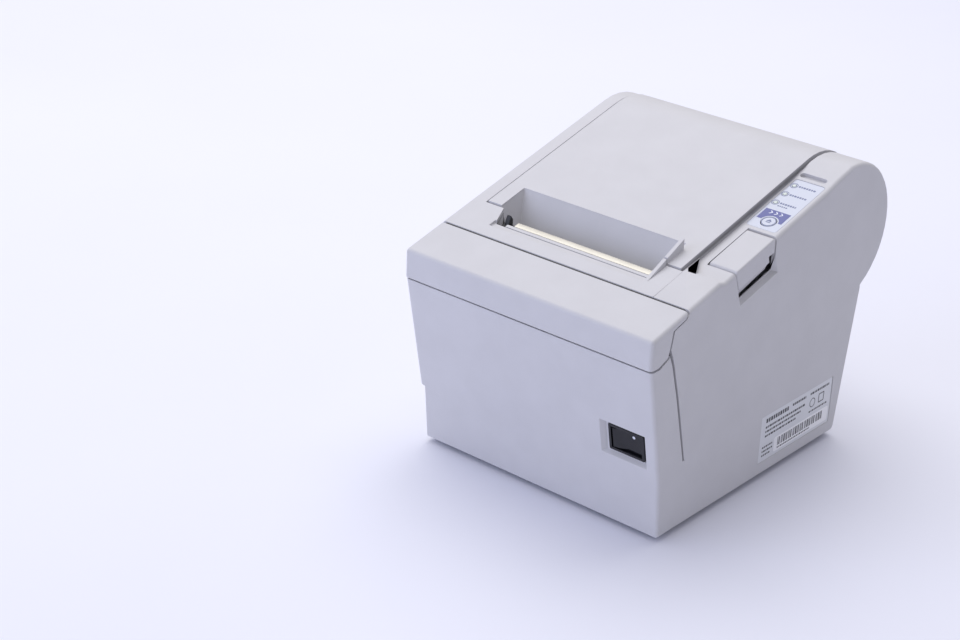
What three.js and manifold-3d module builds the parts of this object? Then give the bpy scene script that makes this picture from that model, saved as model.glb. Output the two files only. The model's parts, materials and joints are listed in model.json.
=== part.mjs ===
// Compact thermal receipt printer for 80 mm paper rolls, in millimetres.
// Frame: X to the right seen from the front, Y to the rear, Z up, origin at the bottom centre.
import * as THREE from 'three';
import { mergeVertices } from 'three/addons/utils/BufferGeometryUtils.js';
import { ConvexGeometry } from 'three/addons/geometries/ConvexGeometry.js';
import Module from 'manifold-3d';

const wasm = await Module();
wasm.setup();

// ---- driving dimensions -------------------------------------------------------------------
const HALF_WIDTH = 72.5; // half of the case's width
const FRONT_Y = -97.5; // face of the front cover
const CASE_WALL = 2.5;
const EDGE_RADIUS = 2; // rounding of the case's left and right edges
const BASE_Z = 2.6; // lower edge of the case walls
const CREASE = [-84.3, 31.3]; // (y, z) where the front face starts to lean further out
const FRONT_SEAM_Z = 91.9; // seam between the case and the front cover
const FRONT_SEAM_Y = -96.8;
const FRONT_SEAM_WIDTH = 1;
const REAR_FOOT_Y = 68.3;
const REAR_KINK = [78.9, 78.4]; // (y, z) where the rear wall meets the round
const DECK_Y = -72; // a point on the sloping top, and the top's slope
const DECK_Z = 113.9;
const DECK_SLOPE = 0.262;
const ROUND_RADIUS = 36.5; // round of the top rear
const ROUND_Y = 60.5;
const ROUND_Z = 111;
const COVER_PROUD = 0.5; // the paper cover stands this far above the case
const LEDGE_INSET = 3.2; // the lower part of the left wall steps in
const GAP = 0.4; // clearance between neighbouring parts

// paper cover opening, between x limits, behind y
const OPENING_LEFT = -64.3;
const OPENING_RIGHT = 52.3;
const OPENING_FRONT = -49.4;
const CHEEK = 2; // thickness of the case's flanges beside the paper cover
const COVER_X = [-63.5, 50.6];
const COVER_FRONT = -48.6;
const COVER_WALL = 2.4;
const SKIRT_DEPTH = 5.5; // how far the stiffening walls under the paper cover reach down
const SKIRT_INSET = 2.2; // the right one stands back from the cover's edge
const HINGE_ANGLE = -22; // degrees on the rear round
const HINGE_RADIUS = 33.2;
const PIN_RADIUS = 1.5;
const BORE_CLEARANCE = 0.35;

// paper exit recess
const RECESS_LEFT = -55;
const RECESS_RIGHT = 41;
const RECESS_BACK = -32;
const RECESS_FRONT = -63.5;
const FIN_THICKNESS = 2;
const FIN_REAR = -36.3;
const FIN_SPLIT = -49;
const FIN_RISE = 5.8; // height of the fin's rear end above the top
const TUB_FLOOR_Z = 107.5;

// lowered panel at the right of the paper cover
const PANEL_FRONT = [-44.5, 119];
const PANEL_SLOPE = 0.267;
const PANEL_REAR_Y = 36;
const PLATE_X = 61.5; // the decal plate in the panel
const PLATE_Y = 17.6;
const PLATE_SIZE = [15.8, 42];
const PLATE_DEPTH = 0.9;
const BUTTON_X = 61.8;
const BUTTON_Y = 3.3;
const BUTTON_RADIUS = 3.6;
const BUTTON_LENGTH = 5;
const LAMP_X = 55.6;
const LAMP_ROWS = [33.1, 25.5, 17.8];
const LAMP_RADIUS = 1;
const LAMP_LENGTH = 4;

// paper roll compartment
const ROLL_X = -8.5; // middle of the paper
const ROLL_WIDTH = 82;
const ROLL_RADIUS = 43;
const ROLL_Y = 32.5;
const ROLL_Z = 95;

// platen and gear train
const PLATEN_Y = -40;
const PLATEN_Z = 100;
const PLATEN_RADIUS = 7;
const SHAFT_RADIUS = 3;
const SHAFT_X = [-63.2, 46.6];
const BUSH_SPANS = { left: [-59.2, -52.6], right: [36, 46.2] };
const BUSH_RADIUS = 4.6;
const GEAR_MODULE = 0.8;
const PLATEN_TEETH = 18;
const IDLER_TEETH = 24;
const PINION_TEETH = 12;
const GEAR_X = [-62.8, -59.6];
const PINION_DIRECTION = 250; // degrees, from the idler to the pinion
const CHASSIS_Y = [-56, -30];
const SIDE_PLATES = [
  [-58.5, -57],
  [47.2, 48.7],
];
const HEAD_SPRING_X = [-38, 21];
const HEAD_SPRING_Z = 96;

// automatic cutter
const BLADE_Z = 109;
const BLADE_THICKNESS = 1;
const CUTTER_TEETH = 16;
const CUTTER_MODULE = 1;
const RACK_X = 41; // pitch line of the blade's rack
const CUTTER_Y = -66.5;
const BLADE_FRONT = -75;
const BLADE_EDGE = -56.4;

// power switch, in the leaning front face
const SWITCH_X = 54.4;
const SWITCH_Z = 47.3;
const SWITCH_SIZE = [19.9, 14.4];
const DISH_SIZE = [26.8, 19];
const DISH_SHIFT = [-1.6, -0.6]; // the dish reaches further to the left and down
const DISH_DEPTH = 2.2;
const ROCKER_TILT = 5; // degrees that the rocker leans to each side
const ROCKER_PIVOT_DEPTH = 3.5; // under the bezel's face

// cover lever at the right
const LEVER_X = [57.1, HALF_WIDTH];
const LEVER_PIVOT = [-34.2, 119.2];
const LEVER_PIN_RADIUS = 1.2;
const LEVER_SPRING_RADIUS = 1.7;

// base, rear bay and sockets
const FOOT_SPOTS = {
  front_left: [-56, -66],
  front_right: [58, -66],
  rear_left: [-56, 50],
  rear_right: [58, 50],
};
const SCREW_SPOTS = [
  [-45, -40],
  [56, -40],
  [-45, 30],
  [56, 30],
];
const BAY_X = [-52, 52];
const BAY_Z = [12, 46];
const SOCKET_FACE_Y = 66;
const LABEL_Y = [-0.9, 61.5];
const LABEL_Z = [10, 34.5];

// ---- colours ------------------------------------------------------------------------------
const COOL_WHITE = [0xd6d4da, 0.62, 0];
const COOL_GREY = [0xc9c8cd, 0.6, 0];
const BLACK_PLASTIC = [0x17171a, 0.5, 0];
const GLOSS_BLACK = [0x0b0b0c, 0.15, 0];
const DARK_GREY = [0x3a3a3e, 0.6, 0];
const RUBBER_BLACK = [0x202022, 0.9, 0];
const ROLLER_RUBBER = [0x3b3835, 0.75, 0];
const ZINC_STEEL = [0xb9bcc0, 0.35, 1];
const BRIGHT_STEEL = [0xe4e2d8, 0.2, 1];
const ALUMINIUM = [0xc4c6c9, 0.4, 1];
const BRASS = [0xb89a56, 0.35, 1];
const GEAR_PLASTIC = [0xe6e2d4, 0.55, 0];
const BOARD_GREEN = [0x1f5a36, 0.5, 0];
const PALE_DECAL = [0xdfe4f2, 0.35, 0];
const LABEL_WHITE = [0xe8e8ea, 0.5, 0];
const LAMP_GREEN = [0xbfd8c4, 0.2, 0];
const LAMP_RED = [0xdcbcbc, 0.2, 0];

const printer = new THREE.Group();
const coverGroup = new THREE.Group();
const mechanism = new THREE.Group();
const electronics = new THREE.Group();
printer.add(coverGroup, mechanism, electronics);

// ---- helpers ------------------------------------------------------------------------------
function deckZ(y) {
  return DECK_Z + DECK_SLOPE * (y - DECK_Y);
}

function panelZ(y) {
  return PANEL_FRONT[1] + PANEL_SLOPE * (y - PANEL_FRONT[0]);
}

function radians(degrees) {
  return (degrees * Math.PI) / 180;
}

function toSolid(geometry) {
  const bare = geometry.clone();
  bare.deleteAttribute('normal');
  bare.deleteAttribute('uv');
  const merged = mergeVertices(bare, 1e-5);
  const mesh = new wasm.Mesh({
    numProp: 3,
    vertProperties: merged.attributes.position.array,
    triVerts: new Uint32Array(merged.index.array),
  });
  return new wasm.Manifold(mesh);
}

function toGeometry(solid) {
  const mesh = solid.getMesh();
  const geometry = new THREE.BufferGeometry();
  geometry.setAttribute('position', new THREE.BufferAttribute(new Float32Array(mesh.vertProperties), 3));
  geometry.setIndex(new THREE.BufferAttribute(new Uint32Array(mesh.triVerts), 1));
  geometry.computeVertexNormals();
  return geometry;
}

function joined(solids) {
  return solids.reduce((sum, next) => sum.add(next));
}

function cutBy(solid, tools) {
  return tools.reduce((rest, tool) => rest.subtract(tool), solid);
}

function extruded(points, length, bevel = 0) {
  const shape = new THREE.Shape(points.map(([u, v]) => new THREE.Vector2(u, v)));
  const geometry = new THREE.ExtrudeGeometry(shape, {
    depth: length - 2 * bevel,
    steps: 1,
    bevelEnabled: bevel > 0,
    bevelThickness: bevel,
    bevelSize: bevel,
    bevelOffset: -bevel,
    bevelSegments: 3,
  });
  return geometry.translate(0, 0, bevel);
}

// an outline of (y, z) points, extruded from x0 to x1
function alongX(points, x0, x1, bevel = 0) {
  const turn = new THREE.Matrix4().makeBasis(
    new THREE.Vector3(0, 1, 0),
    new THREE.Vector3(0, 0, 1),
    new THREE.Vector3(1, 0, 0),
  );
  return toSolid(extruded(points, x1 - x0, bevel).applyMatrix4(turn).translate(x0, 0, 0));
}

// an outline of (x, z) points, extruded from y0 to y1
function alongY(points, y0, y1, bevel = 0) {
  const turn = new THREE.Matrix4().makeBasis(
    new THREE.Vector3(1, 0, 0),
    new THREE.Vector3(0, 0, 1),
    new THREE.Vector3(0, -1, 0),
  );
  return toSolid(extruded(points, y1 - y0, bevel).applyMatrix4(turn).translate(0, y1, 0));
}

// an outline of (x, y) points, extruded from z0 to z1
function alongZ(points, z0, z1, bevel = 0) {
  return toSolid(extruded(points, z1 - z0, bevel).translate(0, 0, z0));
}

function block([x0, x1], [y0, y1], [z0, z1]) {
  const geometry = new THREE.BoxGeometry(x1 - x0, y1 - y0, z1 - z0);
  return toSolid(geometry.translate((x0 + x1) / 2, (y0 + y1) / 2, (z0 + z1) / 2));
}

function cylinderX(radius, x0, x1, y, z, sides = 24) {
  const geometry = new THREE.CylinderGeometry(radius, radius, x1 - x0, sides);
  return toSolid(geometry.rotateZ(-Math.PI / 2).translate((x0 + x1) / 2, y, z));
}

function cylinderY(radius, y0, y1, x, z, sides = 24) {
  const geometry = new THREE.CylinderGeometry(radius, radius, y1 - y0, sides);
  return toSolid(geometry.translate(x, (y0 + y1) / 2, z));
}

function cylinderZ(radius, z0, z1, x, y, sides = 24) {
  const geometry = new THREE.CylinderGeometry(radius, radius, z1 - z0, sides);
  return toSolid(geometry.rotateX(Math.PI / 2).translate(x, y, (z0 + z1) / 2));
}

function hull(points) {
  return toSolid(new ConvexGeometry(points.map(([x, y, z]) => new THREE.Vector3(x, y, z))));
}

// replaces each corner that has a radius by an arc; a corner is [u, v] or [u, v, radius]
function rounded(corners, steps = 4) {
  const points = [];
  corners.forEach(([u, v, radius], i) => {
    const corner = new THREE.Vector2(u, v);
    if (!radius) {
      points.push([u, v]);
      return;
    }
    const [pu, pv] = corners[(i + corners.length - 1) % corners.length];
    const [nu, nv] = corners[(i + 1) % corners.length];
    const back = new THREE.Vector2(pu, pv).sub(corner).normalize();
    const ahead = new THREE.Vector2(nu, nv).sub(corner).normalize();
    const half = Math.acos(THREE.MathUtils.clamp(back.dot(ahead), -1, 1)) / 2;
    const middle = back.clone().add(ahead).normalize();
    const centre = corner.clone().addScaledVector(middle, radius / Math.sin(half));
    const start = corner.clone().addScaledVector(back, radius / Math.tan(half)).sub(centre);
    const end = corner.clone().addScaledVector(ahead, radius / Math.tan(half)).sub(centre);
    let sweep = end.angle() - start.angle();
    sweep -= 2 * Math.PI * Math.round(sweep / (2 * Math.PI));
    for (let k = 0; k <= steps; k += 1) {
      const spot = start.clone().rotateAround(new THREE.Vector2(), (sweep * k) / steps).add(centre);
      points.push([spot.x, spot.y]);
    }
  });
  return points;
}

// moves every side of a counterclockwise outline inwards by a distance
function inset(points, distance) {
  return points.map(([u, v], i) => {
    const [pu, pv] = points[(i + points.length - 1) % points.length];
    const [nu, nv] = points[(i + 1) % points.length];
    const before = new THREE.Vector2(u - pu, v - pv).normalize();
    const after = new THREE.Vector2(nu - u, nv - v).normalize();
    const normalBefore = new THREE.Vector2(-before.y, before.x);
    const normalAfter = new THREE.Vector2(-after.y, after.x);
    const mitre = normalBefore.clone().add(normalAfter);
    mitre.multiplyScalar(distance / (1 + normalBefore.dot(normalAfter)));
    return [u + mitre.x, v + mitre.y];
  });
}

function rectangle(u0, u1, v0, v1, radius = 0) {
  return rounded([
    [u0, v0, radius],
    [u1, v0, radius],
    [u1, v1, radius],
    [u0, v1, radius],
  ]);
}

function roundPoints(from, to, radius, steps) {
  return Array.from({ length: steps + 1 }, (_, k) => {
    const angle = radians(from + ((to - from) * k) / steps);
    return [ROUND_Y + radius * Math.cos(angle), ROUND_Z + radius * Math.sin(angle)];
  });
}

function addPart(group, name, shape, [colour, roughness, metalness]) {
  const geometry = shape.isBufferGeometry ? shape : toGeometry(shape);
  const material = new THREE.MeshStandardMaterial({ color: colour, roughness, metalness });
  const mesh = new THREE.Mesh(geometry, material);
  mesh.name = name;
  group.add(mesh);
  return mesh;
}

// ---- case outlines ------------------------------------------------------------------------
// the side outline with the high top at the left, or with the low panel at the right
function caseOutline(isLow) {
  const deckAngle = (Math.atan(DECK_SLOPE) * 180) / Math.PI;
  const kinkAngle = -60;
  const top = isLow
    ? [
        ...roundPoints(kinkAngle, 95, ROUND_RADIUS, 18),
        [46, deckZ(46) - 0.8],
        [PANEL_REAR_Y, panelZ(PANEL_REAR_Y)],
        PANEL_FRONT,
        [-48.5, deckZ(-48.5)],
      ]
    : roundPoints(kinkAngle, 90 + deckAngle, ROUND_RADIUS, 18);
  return rounded([
    [-81.5, BASE_Z],
    [REAR_FOOT_Y, BASE_Z, 3],
    REAR_KINK,
    ...top,
    [FRONT_SEAM_Y, deckZ(FRONT_SEAM_Y), 3],
    [FRONT_SEAM_Y, FRONT_SEAM_Z],
    CREASE,
  ]);
}

// side outline of the room for the front cover; the cover's own outline keeps clear of it by the seam's width
function frontCoverRegion(seam) {
  const lower = FRONT_SEAM_Z - FRONT_SEAM_WIDTH / 2 + seam;
  return [
    [-115, lower],
    [-90.9 - seam, lower + 0.6],
    [-84.3 - seam, 95.1 + seam * 0.6],
    [-83.4 - seam, 99.2],
    [-81.6 - seam, 107.7 + seam * 0.3],
    [-72.9 - seam, 110.3 + seam * 0.3],
    [-71.2 - seam * 1.2, 112.6 + seam * 0.3],
    [-71.2 - seam * 1.2, 130],
    [-115, 130],
  ];
}

function hingeSpot() {
  const angle = radians(HINGE_ANGLE);
  return [ROUND_Y + HINGE_RADIUS * Math.cos(angle), ROUND_Z + HINGE_RADIUS * Math.sin(angle)];
}

// ---- upper case ---------------------------------------------------------------------------
function caseBody() {
  const high = caseOutline(false);
  const low = caseOutline(true);
  const reach = [-150, 200];
  const leftPart = block([-100, OPENING_RIGHT], reach, reach);
  const rightPart = block([OPENING_RIGHT, 100], reach, reach);
  const outer = joined([
    alongX(high, -HALF_WIDTH, HALF_WIDTH, EDGE_RADIUS).intersect(leftPart),
    alongX(low, -HALF_WIDTH, HALF_WIDTH, EDGE_RADIUS).intersect(rightPart),
  ]);
  const innerSide = HALF_WIDTH - CASE_WALL;
  const split = OPENING_RIGHT - CASE_WALL;
  const innerHigh = alongX(inset(high, CASE_WALL), -innerSide, split);
  const innerLow = alongX(inset(low, CASE_WALL), split, innerSide);
  const bottom = block([-innerSide + LEDGE_INSET, innerSide], [-78.9, 65.4], [-5, 12]);
  const ledgeTop = CREASE[1];
  const ledge = block([-100, -HALF_WIDTH + LEDGE_INSET], reach, [-5, ledgeTop]);
  const ledgeBack = block([-innerSide - 1, -innerSide + LEDGE_INSET], reach, [-5, ledgeTop + CASE_WALL]);
  const inner = joined([innerHigh, innerLow]).subtract(ledgeBack).add(bottom);
  return outer.subtract(inner).subtract(ledge);
}

// side outline of a band that follows the top, between two depths under it
function bandOutline(isLow, from, to) {
  const deckAngle = (Math.atan(DECK_SLOPE) * 180) / Math.PI;
  const line = (depth) => {
    const top = isLow ? panelZ : deckZ;
    const ramp = isLow ? [[PANEL_REAR_Y, panelZ(PANEL_REAR_Y) - depth]] : [];
    return [
      ...roundPoints(-40, 90 + deckAngle, ROUND_RADIUS - depth, 14),
      ...ramp,
      [OPENING_FRONT, top(OPENING_FRONT) - depth],
    ];
  };
  return [...line(from), ...line(to).reverse()];
}

// flange along one side of the paper cover opening, which carries the hinge pin
function cheek(x0, isLow) {
  return alongX(bandOutline(isLow, 2.2, 12), x0, x0 + CHEEK);
}

function openingTool() {
  const outline = [
    [OPENING_FRONT, 112],
    [ROUND_Y, ROUND_Z],
    [ROUND_Y + 60 * Math.cos(radians(-31)), ROUND_Z + 60 * Math.sin(radians(-31))],
    [130, 160],
    [OPENING_FRONT, 160],
  ];
  return alongX(outline, OPENING_LEFT, OPENING_RIGHT);
}

// slot in both side walls, from the front cover's seam down towards the base
function sideSlots() {
  const outline = [
    [-84.9, 98.5],
    [-81.4, 90.5],
    [-75.9, 72.4],
    [-66.6, 37],
    [-65.5, 37.3],
    [-74.5, 72.4],
    [-79.9, 90.5],
    [-83.2, 98.5],
  ];
  return alongX(outline, -100, 100);
}

function exitHole() {
  const outline = [
    [RECESS_LEFT - 1, -42],
    [-48.9, -59.6],
    [RECESS_RIGHT, -59.6],
    [RECESS_RIGHT, -42],
  ];
  return alongZ(outline, 100, 140);
}

function exitLedge() {
  const outline = [
    [RECESS_FRONT, deckZ(RECESS_FRONT) - 1],
    [-59, deckZ(-59) - 1.4],
    [-59, 140],
    [RECESS_FRONT, 140],
  ];
  return alongX(outline, -50, RECESS_RIGHT);
}

function exitSideWall() {
  const outline = [
    [-51, -60.1],
    [-48.9, -60.1],
    [-53, OPENING_FRONT - 0.2],
    [-55.1, OPENING_FRONT - 0.2],
  ];
  return alongZ(outline, 111.5, 117.5);
}

function finTop(y) {
  const rear = deckZ(FIN_REAR) + FIN_RISE;
  const front = deckZ(RECESS_FRONT);
  return front + ((rear - front) * (y - RECESS_FRONT)) / (FIN_REAR - RECESS_FRONT);
}

function fin(y0, y1) {
  const outline = [
    [y0, deckZ(y0) - 1.5],
    [y1, deckZ(y1) - 1.5],
    [y1, finTop(y1)],
    [y0, finTop(y0)],
  ];
  return alongX(outline, RECESS_RIGHT, RECESS_RIGHT + FIN_THICKNESS);
}

// room for the lever, with a sloping border under and behind its lower half
function leverOpening() {
  const room = [
    [-31.6, 105.2],
    [-4.6, 112.6],
    [-5.1, 121],
    [-5.3, 135],
    [-42, 135],
    [-38, 123.2],
  ];
  const border = [
    [-31, 103.3],
    [-1.2, 111.1],
    [-5.1, 121],
    [-12, 119],
    [-31.6, 110],
  ];
  const depth = 2.4;
  const slope = hull([
    ...border.map(([y, z]) => [HALF_WIDTH + 0.1, y, z]),
    ...border.map(([y, z]) => [HALF_WIDTH - depth, y * 0.87 - 2.6, z * 0.85 + 17.4]),
  ]);
  return alongX(room, LEVER_X[0] - GAP, 100).add(slope);
}

// turns a solid made on the flat into the place of the sloping panel
function onPanel(solid, x, y) {
  const tilt = (Math.atan(PANEL_SLOPE) * 180) / Math.PI;
  return solid.rotate([tilt, 0, 0]).translate([x, y, panelZ(y)]);
}

function platePocket() {
  const [width, length] = PLATE_SIZE;
  const pocket = alongZ(
    rectangle(-width / 2 - 0.3, width / 2 + 0.3, -length / 2 - 0.3, length / 2 + 0.3, 1.5),
    -PLATE_DEPTH,
    3,
  );
  return onPanel(pocket, PLATE_X, PLATE_Y);
}

function panelHoles(margin) {
  const button = onPanel(cylinderZ(BUTTON_RADIUS + margin, -8, 4, 0, 0), BUTTON_X, BUTTON_Y);
  const lamps = LAMP_ROWS.map((y) => onPanel(cylinderZ(LAMP_RADIUS + margin, -8, 4, 0, 0, 16), LAMP_X, y));
  return joined([button, ...lamps]);
}

function lampGroove() {
  return onPanel(alongZ(rectangle(-7.2, 7.2, -1.6, 1.6, 1.5), -1.2, 4), 60.5, 41.8);
}

// turns a solid made round the origin, facing -Y, into the place of the switch
function onFront(solid) {
  const lean = Math.atan2(CREASE[0] - FRONT_SEAM_Y, FRONT_SEAM_Z - CREASE[1]);
  const y = CREASE[0] - Math.tan(lean) * (SWITCH_Z - CREASE[1]);
  return solid.rotate([(lean * 180) / Math.PI, 0, 0]).translate([SWITCH_X, y, SWITCH_Z]);
}

function dishWall() {
  const [w, h] = DISH_SIZE.map((size) => size / 2 + 2);
  const [u, v] = DISH_SHIFT;
  return onFront(alongY(rectangle(u - w, u + w, v - h, v + h), 0.4, DISH_DEPTH + 2));
}

function dishHollow() {
  const [w, h] = DISH_SIZE.map((size) => size / 2);
  const [sw, sh] = SWITCH_SIZE.map((size) => size / 2 + GAP);
  const [u, v] = DISH_SHIFT;
  const mouth = [u - w, u + w].flatMap((x) => [v - h, v + h].map((z) => [x, -1, z]));
  const floor = [-sw - 1.2, sw + 1.2].flatMap((x) => [-sh - 0.8, sh + 0.8].map((z) => [x, DISH_DEPTH, z]));
  const hole = alongY(rectangle(-sw, sw, -sh, sh), -1, 8);
  return onFront(joined([hull([...mouth, ...floor]), hole]));
}

function labelPocket() {
  const [y0, y1] = LABEL_Y;
  const [z0, z1] = LABEL_Z;
  return block([HALF_WIDTH - 0.6, HALF_WIDTH + 5], [y0 - 0.3, y1 + 0.3], [z0 - 0.3, z1 + 0.3]);
}

function rearBay() {
  return block([BAY_X[0], BAY_X[1]], [60, 90], BAY_Z);
}

function upperCase() {
  const [hingeY, hingeZ] = hingeSpot();
  const flanges = [cheek(OPENING_LEFT - CHEEK, false), cheek(OPENING_RIGHT, true)];
  const clipped = exitSideWall().intersect(alongX(caseOutline(false), -60, 60));
  const body = joined([caseBody(), dishWall()]).subtract(openingTool()).subtract(exitHole());
  const dressed = joined([body, clipped, ...flanges, fin(RECESS_FRONT, FIN_SPLIT - 0.4)]);
  const tools = [
    exitLedge(),
    alongX(frontCoverRegion(0), -100, 100),
    sideSlots(),
    leverOpening(),
    platePocket(),
    panelHoles(0.4),
    lampGroove(),
    dishHollow(),
    labelPocket(),
    rearBay(),
    cylinderX(PIN_RADIUS + BORE_CLEARANCE, -69.9, 60, hingeY, hingeZ, 16),
    cylinderX(LEVER_PIN_RADIUS + BORE_CLEARANCE, 50, 60, ...LEVER_PIVOT, 16),
    cylinderX(LEVER_SPRING_RADIUS + 0.6, OPENING_RIGHT + CHEEK, 60, ...LEVER_PIVOT, 16),
  ];
  addPart(printer, 'upper_case', cutBy(dressed, tools), COOL_WHITE);
}

// ---- front cover --------------------------------------------------------------------------
function frontCover() {
  const outline = rounded([
    [FRONT_Y + 2, 84],
    [-55, 84],
    [-55, deckZ(-55)],
    [FRONT_Y, deckZ(FRONT_Y), EDGE_RADIUS + 0.3],
    [FRONT_Y, FRONT_SEAM_Z],
  ]);
  const wall = 2.2;
  const side = HALF_WIDTH - wall;
  const shell = alongX(outline, -HALF_WIDTH, HALF_WIDTH, EDGE_RADIUS)
    .subtract(alongX(inset(outline, wall), -side, side))
    .intersect(alongX(frontCoverRegion(FRONT_SEAM_WIDTH), -100, 100));
  const tongues = [-1, 1].map((s) => {
    const xs = [s * 66.2, s * 68.6].sort((a, b) => a - b);
    return block(xs, [FRONT_Y + 1, -62], [96.6, 99]);
  });
  addPart(printer, 'front_cover', joined([shell, ...tongues]), COOL_WHITE);
}

// ---- paper cover --------------------------------------------------------------------------
function coverOutline(depth) {
  const deckAngle = (Math.atan(DECK_SLOPE) * 180) / Math.PI;
  const raised = COVER_PROUD / Math.cos(Math.atan(DECK_SLOPE));
  const outer = roundPoints(-25, 90 + deckAngle, ROUND_RADIUS + COVER_PROUD, 16);
  const inner = roundPoints(-25, 90 + deckAngle, ROUND_RADIUS + COVER_PROUD - depth, 16).reverse();
  const drop = raised - depth / Math.cos(Math.atan(DECK_SLOPE));
  return [
    ...outer,
    [COVER_FRONT, deckZ(COVER_FRONT) + raised],
    [COVER_FRONT, deckZ(COVER_FRONT) + drop],
    ...inner,
  ];
}

function tubHollow() {
  const top = 150;
  const lean = (top - deckZ(RECESS_BACK)) * 0.02;
  return hull([
    [RECESS_LEFT, RECESS_BACK, deckZ(RECESS_BACK)],
    [RECESS_RIGHT, RECESS_BACK, deckZ(RECESS_BACK)],
    [RECESS_LEFT - lean, RECESS_BACK + lean, top],
    [RECESS_RIGHT, RECESS_BACK + lean, top],
    [RECESS_LEFT - lean, -70, top],
    [RECESS_RIGHT, -70, top],
    [RECESS_LEFT, -70, 112],
    [RECESS_RIGHT, -70, 112],
    [-49.5, -40.5, TUB_FLOOR_Z - 1],
    [RECESS_RIGHT - 1.5, -40.5, TUB_FLOOR_Z - 1],
    [-49.5, -70, TUB_FLOOR_Z - 1],
    [RECESS_RIGHT - 1.5, -70, TUB_FLOOR_Z - 1],
  ]);
}

function tubBody() {
  const back = deckZ(RECESS_BACK) - 1;
  return hull([
    [RECESS_LEFT - 2, RECESS_BACK + 2, back],
    [RECESS_RIGHT + 2, RECESS_BACK + 2, back],
    [RECESS_LEFT - 2, COVER_FRONT, deckZ(COVER_FRONT) - 1],
    [RECESS_RIGHT + 2, COVER_FRONT, deckZ(COVER_FRONT) - 1],
    [-51.5, -38.2, TUB_FLOOR_Z],
    [RECESS_RIGHT + 0.6, -38.2, TUB_FLOOR_Z],
    [-51.5, COVER_FRONT, TUB_FLOOR_Z],
    [RECESS_RIGHT + 0.6, COVER_FRONT, TUB_FLOOR_Z],
  ]);
}

function paperCover() {
  const [hingeY, hingeZ] = hingeSpot();
  const shell = alongX(coverOutline(COVER_WALL), COVER_X[0], COVER_X[1]);
  const skirts = [
    [COVER_X[0], COVER_X[0] + 2],
    [COVER_X[1] - SKIRT_INSET - 2, COVER_X[1] - SKIRT_INSET],
  ].map(([x0, x1]) => alongX(coverOutline(SKIRT_DEPTH), x0, x1));
  const knuckles = [
    [COVER_X[0], -52],
    [39, COVER_X[1]],
  ].map(([x0, x1]) => cylinderX(3, x0, x1, hingeY, hingeZ, 24));
  const body = joined([shell, ...skirts, ...knuckles, tubBody()]);
  const bore = cylinderX(PIN_RADIUS + BORE_CLEARANCE, -80, 80, hingeY, hingeZ, 16);
  const opened = cutBy(body, [tubHollow(), bore]);
  const finished = joined([opened, fin(FIN_SPLIT + 0.4, FIN_REAR)]);
  addPart(coverGroup, 'paper_cover', finished, COOL_WHITE);
}

function hingePins() {
  const [hingeY, hingeZ] = hingeSpot();
  const spans = { left: [-68.6, -54], right: [41, 55.6] };
  Object.entries(spans).forEach(([side, [x0, x1]]) => {
    const geometry = new THREE.CylinderGeometry(PIN_RADIUS, PIN_RADIUS, x1 - x0, 16).rotateZ(Math.PI / 2);
    const pin = addPart(printer, `hinge_pin_${side}`, geometry, ZINC_STEEL);
    pin.position.set((x0 + x1) / 2, hingeY, hingeZ);
  });
}

// ---- platen assembly, carried by the paper cover ----------------------------------------------
function platenFrame() {
  const arm = rounded([
    [-46, PLATEN_Z - 5.5, 3],
    [-38, PLATEN_Z - 6.5, 2],
    [-18, 112, 2],
    [-18, 120.5],
    [-24, 119],
    [-26, 112, 2],
    [-35.5, 106, 2],
    [-46, 106, 3],
  ]);
  const arms = [
    [-55.6, -53.2],
    [36.4, 38.8],
  ].map(([x0, x1]) => alongX(arm, x0, x1));
  const bar = block([-55, 38], [-24, -18.4], [115, 117.4]);
  const holes = cylinderX(BUSH_RADIUS + 0.3, -80, 80, PLATEN_Y, PLATEN_Z, 24);
  addPart(coverGroup, 'platen_frame', joined([...arms, bar]).subtract(holes), DARK_GREY);
}

function platen() {
  const bore = SHAFT_RADIUS + 0.3;
  const roller = new THREE.LatheGeometry(
    [
      [bore, -42],
      [PLATEN_RADIUS - 0.4, -42],
      [PLATEN_RADIUS, -41.6],
      [PLATEN_RADIUS, 41.6],
      [PLATEN_RADIUS - 0.4, 42],
      [bore, 42],
      [bore, -42],
    ].map(([r, h]) => new THREE.Vector2(r, h)),
    32,
  );
  const sleeve = addPart(coverGroup, 'platen_roller', roller.rotateZ(Math.PI / 2), ROLLER_RUBBER);
  sleeve.position.set(ROLL_X, PLATEN_Y, PLATEN_Z);
  const length = SHAFT_X[1] - SHAFT_X[0];
  const rod = new THREE.CylinderGeometry(SHAFT_RADIUS, SHAFT_RADIUS, length, 24).rotateZ(Math.PI / 2);
  const shaft = addPart(coverGroup, 'platen_shaft', rod, ZINC_STEEL);
  shaft.position.set((SHAFT_X[0] + SHAFT_X[1]) / 2, PLATEN_Y, PLATEN_Z);
  Object.entries(BUSH_SPANS).forEach(([side, [x0, x1]]) => {
    const hole = cylinderX(SHAFT_RADIUS + 0.3, x0 - 1, x1 + 1, 0, 0);
    const ring = cylinderX(BUSH_RADIUS, x0, x1, 0, 0).subtract(hole);
    const bush = addPart(coverGroup, `platen_bush_${side}`, ring, BRASS);
    bush.position.set(0, PLATEN_Y, PLATEN_Z);
  });
}

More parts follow.
